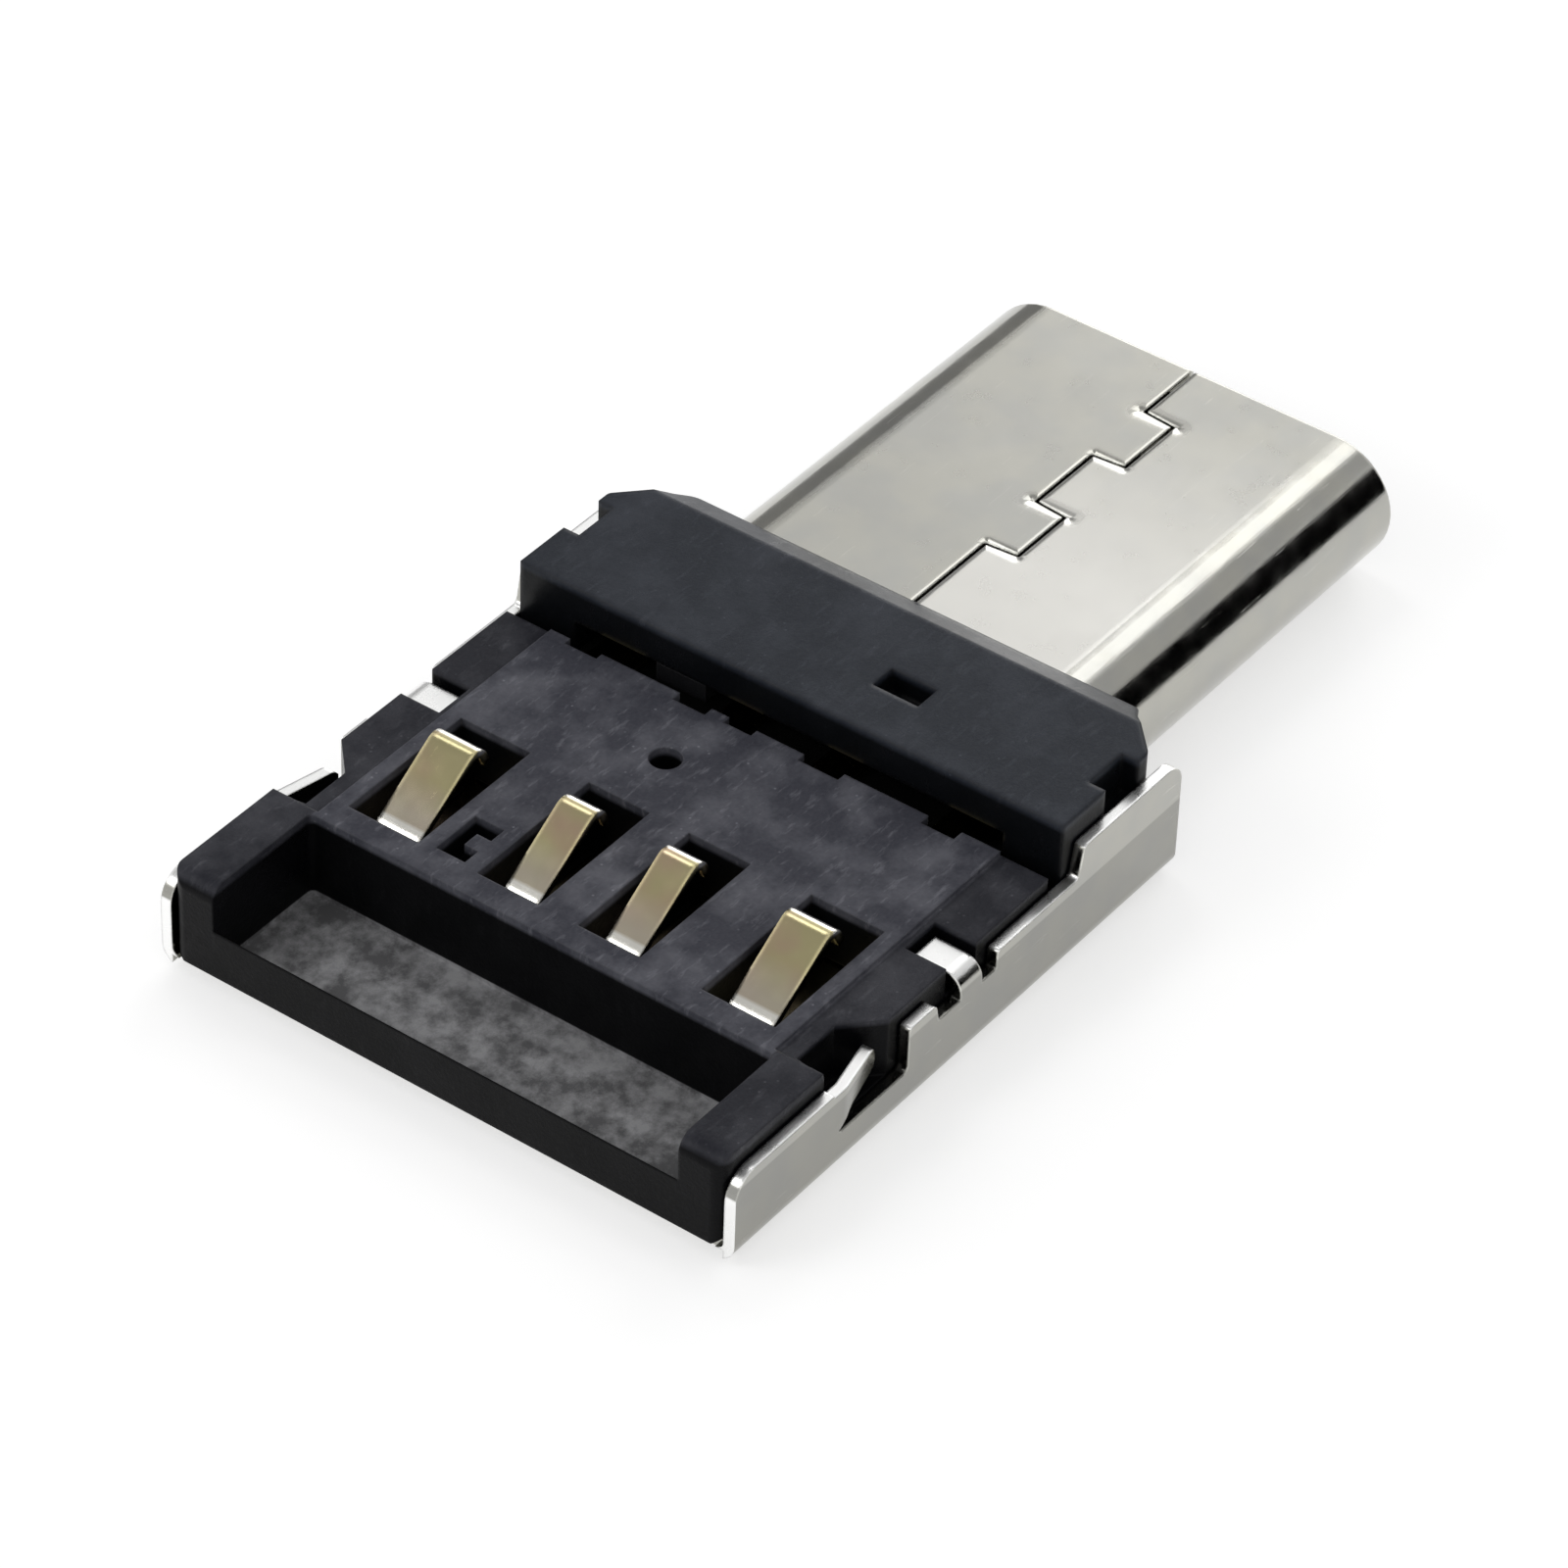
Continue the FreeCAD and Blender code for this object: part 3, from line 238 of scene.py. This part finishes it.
def moulded_grain():
    """spark-eroded grain, rubbed patches and dust specks on a small moulding"""
    net, given, made = effect("moulded_grain", {"Position": "Vector", "Specks": "Float", "Rubbing": "Float"},
                              {"Light": "Float", "Roughness": "Float", "Height": "Float"})
    spot = given["Position"]
    grain = net.noise(spot, scale=14.0, detail=5.0, roughness=0.7)
    patch = net.ramp(net.noise(spot, scale=0.9, detail=4.0, roughness=0.6), (0.42, 0.0), (0.68, 1.0))
    wiped = net.stretched(spot, (0.8, 3.0, 1.0), turn=(0.0, 0.0, 0.5))
    smear = net.ramp(net.noise(wiped, scale=2.4, detail=4.0, roughness=0.65), (0.56, 0.0), (0.72, 1.0))
    dots = net.add("ShaderNodeTexVoronoi", Vector=spot, Scale=5.5, Randomness=1.0).outputs["Distance"]
    speck = net.ramp(dots, (0.05, 1.0), (0.16, 0.0))
    some = net.ramp(net.noise(spot, scale=1.7, detail=2.0), (0.50, 0.0), (0.60, 1.0))
    speck = net.times(net.times(speck, some), given["Specks"])
    rubbed = net.times(net.plus(patch, smear), given["Rubbing"])
    light = net.plus(net.plus(net.times(rubbed, 0.30), speck), net.times(grain, 0.22))
    net.tree.links.new(light, made["Light"])
    net.tree.links.new(net.times(rubbed, -0.08), made["Roughness"])
    net.tree.links.new(grain, made["Height"])
    return net.tree


def edge_brightening():
    """how much a point lies on an edge, from the difference between the rounded and the flat normal"""
    net, given, made = effect("edge_brightening", {"Position": "Vector", "Radius": "Float", "Strength": "Float"},
                              {"Mask": "Float", "Normal": "Vector"})
    bevel = net.add("ShaderNodeBevel", Radius=given["Radius"])
    bevel.samples = 6
    rounded = bevel.outputs[0]
    flat = net.add("ShaderNodeNewGeometry").outputs["True Normal"]
    bend = net.minus(1.0, net.vector("DOT_PRODUCT", rounded, flat))
    edge = net.ramp(bend, (0.03, 0.0), (0.25, 1.0))
    broken = net.ramp(net.noise(given["Position"], scale=3.0, detail=5.0), (0.35, 0.35), (0.65, 1.0))
    net.tree.links.new(net.times(net.times(edge, broken), given["Strength"], True), made["Mask"])
    net.tree.links.new(rounded, made["Normal"])
    return net.tree


def pressed_seam():
    """how far the sheet dips toward the closed seam and its staked corners"""
    net, given, made = effect("pressed_seam", {"Position": "Vector"}, {"Dip": "Float"})
    dip = None
    for x, x_end, y, y_end, soft in SEAM_LINES:
        middle = ((x + x_end) / 2, (y + y_end) / 2, PLUG_TOP)
        half = ((x_end - x) / 2, (y_end - y) / 2, SHEET_HALF)
        off = net.vector("ABSOLUTE", net.vector("SUBTRACT", given["Position"], middle))
        off = net.vector("MAXIMUM", net.vector("SUBTRACT", off, half), (0.0, 0.0, 0.0))
        beside = net.minus(1.0, net.over(net.vector("LENGTH", off), soft), True)
        dip = beside if dip is None else net.higher(dip, beside)
    net.tree.links.new(net.times(dip, dip), made["Dip"])
    return net.tree


STAMPED = stamping_marks()
MOULDED = moulded_grain()
EDGES = edge_brightening()
SEAM = pressed_seam()


# Finishes

class Finish(Net):
    """a material in the making: its position in millimetres, and its colour, roughness and normal so far"""

    def __init__(self, name):
        self.material = bpy.data.materials.new(name)
        self.material.use_nodes = True
        super().__init__(self.material.node_tree)
        self.tree.nodes.clear()
        self.shader = self.add("ShaderNodeBsdfPrincipled")
        self.add("ShaderNodeOutputMaterial", Surface=self.shader.outputs[0])
        here = self.add("ShaderNodeTexCoord").outputs["Object"]
        self.spot = self.stretched(here, (1 / MM, 1 / MM, 1 / MM))

    def lay(self, mask, colour):
        """another colour over the one so far, where the mask is"""
        self.colour = self.blend(mask, self.colour, colour)

    def rough_up(self, height, strength, edge_normal):
        """fine relief over the rounded edges"""
        grain = self.add("ShaderNodeBump", Strength=strength, Distance=GRAIN_DEPTH * MM, Height=height,
                         Normal=edge_normal)
        self.normal = grain.outputs[0]

    def done(self):
        self.put(self.shader, "Base Color", self.colour)
        self.put(self.shader, "Roughness", self.roughness)
        self.put(self.shader, "Normal", self.normal)
        return self.material


def plated_metal(name, colour, cloud, roughness, grain=1.0, scratches=1.0, painted_edge_gain=1.2, edge_radius=0.05):
    """plating whose colour drifts in soft clouds toward a second one, with a painted highlight along its
    edges
    """
    finish = Finish(name)
    marks = finish.place(STAMPED, Position=finish.spot, Grain=grain, Scratches=scratches)
    edges = finish.place(EDGES, Position=finish.spot, Radius=edge_radius * MM, Strength=1.0)
    drift = finish.ramp(finish.noise(finish.spot, scale=0.9, detail=2.0), (0.40, 0.0), (0.62, 1.0))
    finish.colour = finish.blend(drift, colour, cloud)
    finish.colour = finish.blend(1.0, finish.colour, marks["Shade"], "MULTIPLY")
    # painted highlight along the edges
    finish.lay(edges["Mask"], rgb(*(min(0.97, level * painted_edge_gain) for level in colour[:3])))
    finish.shader.inputs["Metallic"].default_value = 1.0
    finish.roughness = finish.plus(marks["Roughness"], roughness, True)
    finish.rough_up(marks["Height"], 0.06, edges["Normal"])
    return finish


def moulded_plastic(name, dark, light, roughness, specks=0.5, rubbing=1.0, grain=0.35, edge_radius=0.06,
                    edge_lightness=0.05, specular=0.12):
    """a dark moulding that is lighter where it is rubbed or dusty, and lighter along its edges"""
    finish = Finish(name)
    marks = finish.place(MOULDED, Position=finish.spot, Specks=specks, Rubbing=rubbing)
    edges = finish.place(EDGES, Position=finish.spot, Radius=edge_radius * MM, Strength=0.6)
    finish.colour = finish.blend(marks["Light"], dark, light)
    finish.lay(edges["Mask"], rgb(edge_lightness, edge_lightness, edge_lightness * 1.08))
    finish.shader.inputs["IOR"].default_value = 1.5
    finish.shader.inputs["Specular IOR Level"].default_value = specular
    finish.roughness = finish.plus(marks["Roughness"], roughness, True)
    finish.rough_up(marks["Height"], grain, edges["Normal"])
    return finish


def nickel_shell():
    """plated sheet: painted highlights on its wall edges and the plug's near half, painted shade on its side
    walls, and a satin top with a pressed seam
    """
    finish = plated_metal("nickel_shell", rgb(0.455, 0.448, 0.408), rgb(0.43, 0.427, 0.40), 0.14,
                          painted_edge_gain=2.2, edge_radius=0.06)
    spot = finish.spot
    sides = finish.both_sides(spot)
    upward = finish.split(finish.add("ShaderNodeNewGeometry").outputs["Normal"])["Z"]
    sloping = finish.times(finish.minus(upward, 0.55), 4.0, True)
    level = finish.times(finish.minus(upward, 0.98), 60.0, True)

    # painted highlight over the plug's near half, fading out toward the mouth
    plug_highlight = finish.zone(spot, PLUG_PAINTED_HIGHLIGHT)
    for tongue in SEAM_TONGUES:
        plug_highlight = finish.minus(plug_highlight, finish.zone(spot, tongue), True)
    fade_end, fade_length = PAINTED_HIGHLIGHT_FADES
    fade = finish.over(finish.minus(fade_end, finish.split(spot)["X"]), fade_length, True)
    finish.lay(finish.times(plug_highlight, fade), rgb(0.66, 0.65, 0.615))
    # painted shade on the side walls
    finish.lay(finish.times(finish.zone(sides, WALL_FACES), WALL_PAINTED_SHADE), BLACK)

    # painted highlight on the upward-sloping wall edges and on the wall ends
    painted_rim_highlight = finish.times(finish.zone(sides, WALL_EDGES), sloping)
    painted_rim_highlight = finish.higher(painted_rim_highlight, finish.zone(sides, WALL_ENDS))
    finish.lay(painted_rim_highlight, rgb(0.96, 0.96, 0.95))

    dip = finish.place(SEAM, Position=spot)["Dip"]
    polished = finish.times(dip, 5.0, True)
    satin = finish.minus(finish.times(finish.zone(spot, PLUG_FLAT), level), polished, True)
    finish.roughness = finish.plus(finish.roughness, finish.times(satin, SATIN_ROUGHNESS))
    finish.roughness = finish.plus(finish.roughness, finish.times(painted_rim_highlight, RIM_HIGHLIGHT_ROUGHNESS), True)

    pressed = finish.add("ShaderNodeBump", Strength=1.0, Distance=SEAM_DIP * MM, Height=dip,
                         Normal=finish.normal)
    pressed.invert = True
    finish.normal = pressed.outputs[0]
    return finish


def gold_contact():
    """gilt strip, paler toward its foot, with a painted highlight over its crest and its heel"""
    finish = plated_metal("gold_contact", rgb(0.56, 0.50, 0.28), rgb(0.58, 0.44, 0.30), 0.13, grain=0.25,
                          scratches=0.3, painted_edge_gain=1.6, edge_radius=0.11)
    finish.lay(finish.times(finish.zone(finish.spot, CONTACT_FOOT), FOOT_PALENESS), rgb(0.60, 0.55, 0.46))
    # painted highlight over the crest and the heel
    contact_highlight = finish.higher(finish.zone(finish.spot, CONTACT_CREST), finish.zone(finish.spot, CONTACT_HEEL))
    finish.lay(contact_highlight, rgb(0.97, 0.95, 0.88))
    return finish


def spring_steel():
    return plated_metal("bright_spring_steel", rgb(0.60, 0.60, 0.61), rgb(0.55, 0.55, 0.56), 0.25, grain=0.8,
                        scratches=0.4, painted_edge_gain=1.1, edge_radius=0.02)


def solder_fillet():
    return plated_metal("solder_fillet", rgb(0.75, 0.75, 0.76), rgb(0.66, 0.66, 0.66), 0.18, grain=1.6,
                        scratches=0.0, painted_edge_gain=1.05, edge_radius=0.04)


def block_plastic():
    """smooth bluish top over sides darkened by painted shade"""
    finish = moulded_plastic("block_black", rgb(0.012, 0.015, 0.022), rgb(0.075, 0.082, 0.10), 0.34,
                             specks=0.35, rubbing=0.8, grain=0.22, edge_radius=0.14)
    # painted shade on the sides and front
    finish.lay(finish.times(finish.zone(finish.spot, BLOCK_SIDES), SIDE_PAINTED_SHADE), NEAR_BLACK)
    return finish


def tray_plastic():
    """grey rubbed deck, darker rails and cheeks, painted shade in its hollows, a scuffed lighter floor in the
    pocket
    """
    finish = moulded_plastic("tray_black", rgb(0.028, 0.029, 0.040), rgb(0.21, 0.212, 0.24), 0.42,
                             rubbing=1.2, edge_lightness=0.14, specular=0.07)
    sides = finish.both_sides(finish.spot)
    # painted shade in the hollows below the deck's top
    hollow = finish.times(finish.minus(HOLLOWS_BELOW, finish.split(finish.spot)["Z"]), 12.0, True)
    finish.lay(finish.times(hollow, HOLLOW_PAINTED_SHADE), NEAR_BLACK)
    rails = finish.zone(sides, TRAY_RAILS)
    finish.lay(finish.times(rails, RAIL_DARKNESS), rgb(0.002, 0.002, 0.003))
    scuffs = finish.noise(finish.spot, scale=1.6, detail=6.0, roughness=0.7)
    scuffs = finish.ramp(scuffs, (0.40, 0.35), (0.62, 1.0))
    finish.lay(finish.times(finish.zone(sides, POCKET_FLOOR), scuffs), rgb(0.34, 0.34, 0.35))
    finish.roughness = finish.minus(finish.roughness, finish.times(rails, RAIL_POLISH), True)
    return finish


def insulator_plastic():
    return moulded_plastic("insulator_black", rgb(0.005, 0.005, 0.006), rgb(0.02, 0.02, 0.02), 0.5,
                           specks=0.1, rubbing=0.5, edge_lightness=0.02)


def board_resin():
    return moulded_plastic("board_black", rgb(0.003, 0.003, 0.003), rgb(0.008, 0.009, 0.008), 0.3,
                           specks=0.1, rubbing=0.5, grain=0.15, edge_lightness=0.02)


def resistor_body():
    return moulded_plastic("resistor_body", rgb(0.01, 0.01, 0.012), rgb(0.03, 0.03, 0.03), 0.55,
                           specks=0.1, rubbing=0.4)


SLOT_FINISHES = {
    "shell_metal": nickel_shell().done(),
    "contact_gold": gold_contact().done(),
    "spring_steel": spring_steel().done(),
    "solder": solder_fillet().done(),
    "black_plastic": tray_plastic().done(),
    "insulator_plastic": insulator_plastic().done(),
    "board_resin": board_resin().done(),
    "resistor_ceramic": resistor_body().done(),
}
NODE_FINISHES = {"front_block": block_plastic().done()}

slots = {part["node"]: part["material_slot"] for part in frame["record"]["subparts"]}
for node, obj in frame["nodes"].items():
    obj.data.materials.clear()
    obj.data.materials.append(NODE_FINISHES.get(node) or SLOT_FINISHES[slots[node]])


# Stage, in millimetres: pale floor, white surround, cards that the metal reflects, soft lamps

FLOOR_REACH = 1200.0
FLOOR_DROP = 0.01
FLOOR_GREY, FLOOR_GLOW = 0.66, 0.53
AROUND_GREY = 0.80
SCRIM_HEIGHT = 100
LAMP_AIM = 1.0


def shading(owner):
    """an empty net in the node tree of a material or a world"""
    owner.use_nodes = True
    owner.node_tree.nodes.clear()
    return Net(owner.node_tree)


def seen_background(net):
    """1 where the camera, a reflection or a view through something looks at the background"""
    path = net.add("ShaderNodeLightPath").outputs
    seen = net.plus(path["Is Camera Ray"], path["Is Glossy Ray"])
    return net.plus(seen, path["Is Transmission Ray"], True)


def stage_piece(name, bm, material_name):
    """an object of the stage made from a bmesh, and the empty net of its material"""
    mesh = bpy.data.meshes.new(name)
    bm.to_mesh(mesh)
    bm.free()
    piece = bpy.data.objects.new(name, mesh)
    bpy.context.scene.collection.objects.link(piece)
    material = bpy.data.materials.new(material_name)
    mesh.materials.append(material)
    return piece, shading(material)


def pale_floor():
    """a floor that keeps the adapter's shadow and lets the camera see its plate from below"""
    bm = bmesh.new()
    bmesh.ops.create_grid(bm, x_segments=1, y_segments=1, size=FLOOR_REACH * MM)
    floor, net = stage_piece("floor", bm, "pale_floor")
    floor.location.z = -FLOOR_DROP * MM
    paint = net.add("ShaderNodeBsdfDiffuse", Color=grey(FLOOR_GREY)).outputs[0]
    glow = net.add("ShaderNodeEmission", Color=WHITE, Strength=net.times(seen_background(net), FLOOR_GLOW))
    front = net.joined("ShaderNodeAddShader", paint, glow.outputs[0]).outputs[0]
    back = net.add("ShaderNodeBsdfTransparent").outputs[0]
    from_below = net.add("ShaderNodeNewGeometry").outputs["Backfacing"]
    one_way = net.joined("ShaderNodeMixShader", from_below, front, back).outputs[0]
    net.add("ShaderNodeOutputMaterial", Surface=one_way)


def studio_world():
    """white where it is looked at, a little greyer where it lights the adapter"""
    world = bpy.data.worlds.new("studio")
    bpy.context.scene.world = world
    net = shading(world)
    colour = net.blend(seen_background(net), grey(AROUND_GREY), WHITE)
    around = net.add("ShaderNodeBackground", Color=colour, Strength=1.0).outputs[0]
    net.add("ShaderNodeOutputWorld", Surface=around)


def studio_card(name, corners, level):
    """a card out of the picture that the metal reflects, black, grey or bright"""
    bm = bmesh.new()
    bm.faces.new([bm.verts.new(Vector(corner) * MM) for corner in corners])
    card, net = stage_piece(name, bm, name)
    card.visible_camera = False
    face = net.add("ShaderNodeEmission", Color=grey(level)).outputs[0]
    net.add("ShaderNodeOutputMaterial", Surface=face)


def upright_card(name, start, end, bottom, top, level):
    """a standing card between two points of the floor plan"""
    studio_card(name, [(*start, bottom), (*end, bottom), (*end, top), (*start, top)], level)


def overhead_card(name, low, high, height, level):
    """a level card over the adapter, from its lowest to its highest x and y"""
    (x, y), (x_end, y_end) = low, high
    studio_card(name, [(x, y, height), (x_end, y, height), (x_end, y_end, height), (x, y_end, height)], level)


def soft_lamp(name, direction, distance, size, watts):
    """a square-cornered soft lamp that looks at the adapter from a direction"""
    lamp = bpy.data.lights.new(name, "AREA")
    lamp.shape = "RECTANGLE"
    lamp.size, lamp.size_y = (side * MM for side in size)
    lamp.energy = watts
    obj = bpy.data.objects.new(name, lamp)
    bpy.context.scene.collection.objects.link(obj)
    way = Vector(direction).normalized()
    obj.location = Vector((0, 0, LAMP_AIM * MM)) + way * distance * MM
    obj.rotation_euler = (-way).to_track_quat("-Z", "Y").to_euler()


# Camera, as it stood over the adapter: turned and tilted in degrees, its distance in millimetres from the
# middle of the plate's front edge, its lens and its view in pixels of the whole picture

CAMERA_TURN, CAMERA_TILT, CAMERA_ROLL = -55.72, 39.22, 2.79
CAMERA_DISTANCE = 113.9
PLATE_FRONT = (1.325, 0, 0.08)
FOCAL_PIXELS = 3651.0
LENS_AXIS = (1151.2, 765.4)
VIEW_CENTRE = (1099.0, 790.0)
VIEW_WIDTH = 830.0
FILM_WIDTH = 36.0


def photo_camera():
    turn, tilt, roll = (math.radians(angle) for angle in (CAMERA_TURN, CAMERA_TILT, CAMERA_ROLL))
    flat = Vector((math.sin(turn), -math.cos(turn), 0))
    back = flat * math.cos(tilt) + Vector((0, 0, math.sin(tilt)))
    side = Vector((math.cos(turn), math.sin(turn), 0))
    up = back.cross(side)
    right = side * math.cos(roll) + up * math.sin(roll)
    top = up * math.cos(roll) - side * math.sin(roll)
    position = Vector(PLATE_FRONT) * MM + back * CAMERA_DISTANCE * MM
    # The view is centred on the adapter, which lies beside the lens axis.
    across, down = (centre - axis for centre, axis in zip(VIEW_CENTRE, LENS_AXIS))
    back = -(back * -FOCAL_PIXELS + right * across - top * down).normalized()
    right = (right - back * right.dot(back)).normalized()
    top = back.cross(right)
    camera = bpy.data.cameras.new("camera")
    camera.sensor_width = FILM_WIDTH
    camera.lens = FILM_WIDTH * FOCAL_PIXELS / VIEW_WIDTH
    camera.clip_start = 5 * MM
    camera.clip_end = 10000 * MM
    obj = bpy.data.objects.new("camera", camera)
    bpy.context.scene.collection.objects.link(obj)
    obj.matrix_world = Matrix.Translation(position) @ Matrix((right, top, back)).transposed().to_4x4()
    bpy.context.scene.camera = obj


pale_floor()
studio_world()
upright_card("black_flag", (34, -77.6), (84, -47.6), -FLOOR_DROP / 2, 48, 0.0)
upright_card("far_flag", (118, 92), (70, 132), 5, 84, 0.30)
overhead_card("near_scrim", (-120, -130), (140, -25), SCRIM_HEIGHT, 0.62)
overhead_card("far_scrim", (-120, -25), (75, 140), SCRIM_HEIGHT, 0.46)
overhead_card("seam_card", (18, 35), (50, 65), SCRIM_HEIGHT - 1, 3.0)
soft_lamp("key", (0.65, 0.075, 0.755), 130, (50, 50), 0.0108)
soft_lamp("rim", (0.88, 0.25, 0.26), 140, (80, 50), 0.030)
soft_lamp("rear", (-0.66, 0.446, 0.60), 90, (40, 30), 0.0110)
photo_camera()
bpy.context.scene.view_settings.view_transform = "Standard"
